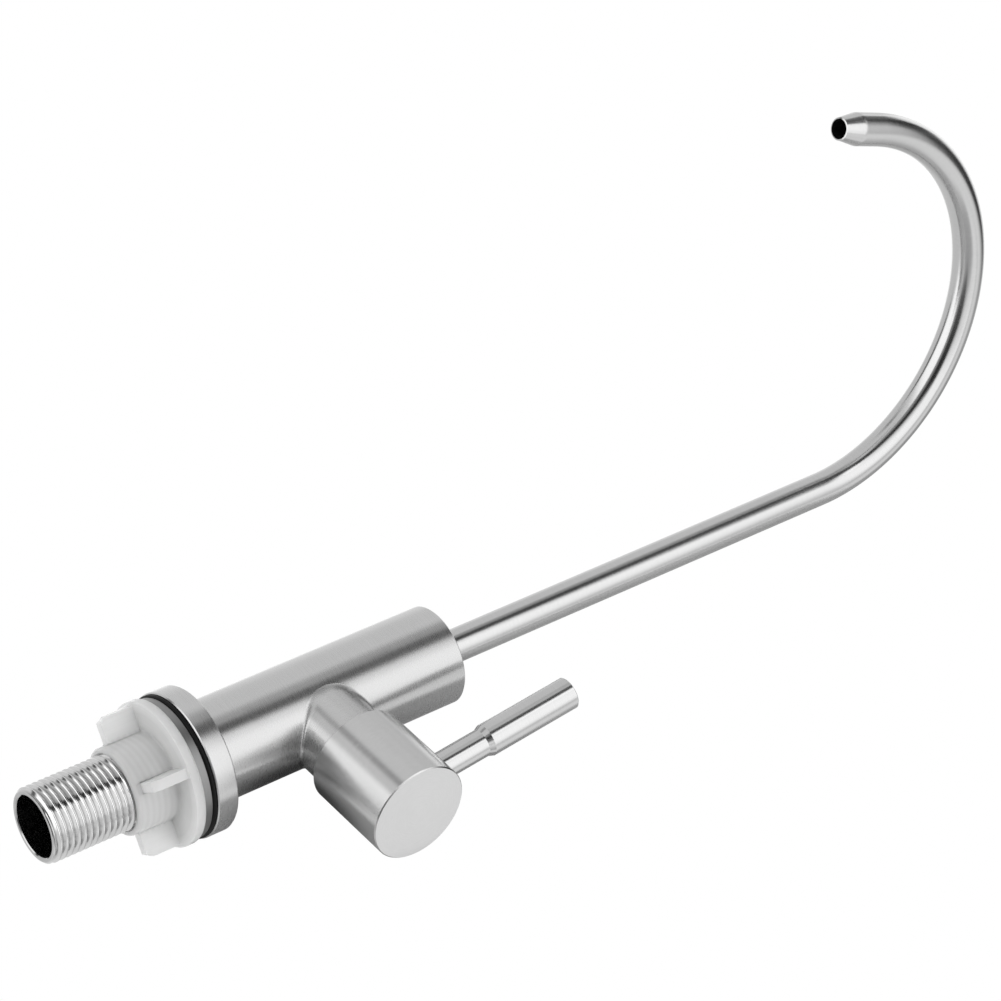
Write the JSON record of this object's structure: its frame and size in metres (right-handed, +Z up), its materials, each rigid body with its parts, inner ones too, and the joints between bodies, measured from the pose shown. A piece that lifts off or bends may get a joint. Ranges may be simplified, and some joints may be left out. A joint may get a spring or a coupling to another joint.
{
  "type": "drinking water filter tap",
  "caption": "Deck-mounted drinking water filter tap: brushed steel tee body, swivelling gooseneck spout, quarter-turn lever handle and threaded shank with a wing nut.",
  "frame": {"origin": "centre of the shank's axis on the worktop's top face, where the flange's spigot and seal sit", "axes": "+Z up along the body and shank, -Y towards the user and the spout's outlet, +X along the side neck towards the handle"},
  "size_m": [0.0699, 0.1372, 0.329],
  "materials": {
    "brushed_steel": "satin brushed stainless steel",
    "thread_steel": "bare machined stainless steel",
    "washer_steel": "dull rolled steel",
    "black_rubber": "smooth black rubber",
    "nut_plastic": "milky moulded plastic",
    "valve_brass": "turned brass",
    "disc_ceramic": "lapped alumina ceramic",
    "glide_plastic": "plain white bearing plastic"
  },
  "bodies": {
    "tap_body": {"tee_body": "brushed_steel", "base_flange": "brushed_steel", "flange_seal": "black_rubber", "threaded_shank": "thread_steel", "shank_gasket": "black_rubber", "valve_seal": "black_rubber", "fixed_disc": "disc_ceramic", "cartridge_housing": "valve_brass", "cartridge_o_ring": "black_rubber", "gland_nut": "valve_brass", "spout_gland": "brushed_steel"},
    "spout": {"spout_tube": "brushed_steel", "spout_sleeve": "valve_brass", "spout_o_ring_lower": "black_rubber", "spout_o_ring_upper": "black_rubber", "glide_ring": "glide_plastic"},
    "handle": {"handle_knob": "brushed_steel", "lever_rod": "brushed_steel", "valve_stem": "valve_brass", "moving_disc": "disc_ceramic", "stem_o_ring_inner": "black_rubber", "stem_o_ring_outer": "black_rubber", "stem_clip": "thread_steel", "thrust_ring": "glide_plastic"},
    "clamp_washer": {"clamp_washer": "washer_steel"},
    "wing_nut": {"wing_nut": "nut_plastic"}
  },
  "joints": [
    {"name": "spout_swivel", "type": "hinge", "parent": "tap_body", "child": "spout", "pos_m": [0, 0, 0.0857], "axis": [0, 0, 1], "continuous": true},
    {"name": "handle_turn", "type": "hinge", "parent": "tap_body", "child": "handle", "pos_m": [0, 0, 0.04345], "axis": [1, 0, 0], "range_deg": [-8, 82]},
    {"name": "washer_slide", "type": "slide", "parent": "tap_body", "child": "clamp_washer", "axis": [0, 0, 1], "range_m": [-0.0218, 0]},
    {"name": "nut_turn", "type": "hinge", "parent": "clamp_washer", "child": "wing_nut", "pos_m": [0, 0, -0.01], "axis": [0, 0, 1], "range_deg": [-4320, 0]}
  ],
  "couplings": [
    {"joint": "washer_slide", "follows": "nut_turn", "m_per_rad": 0.00028875}
  ]
}
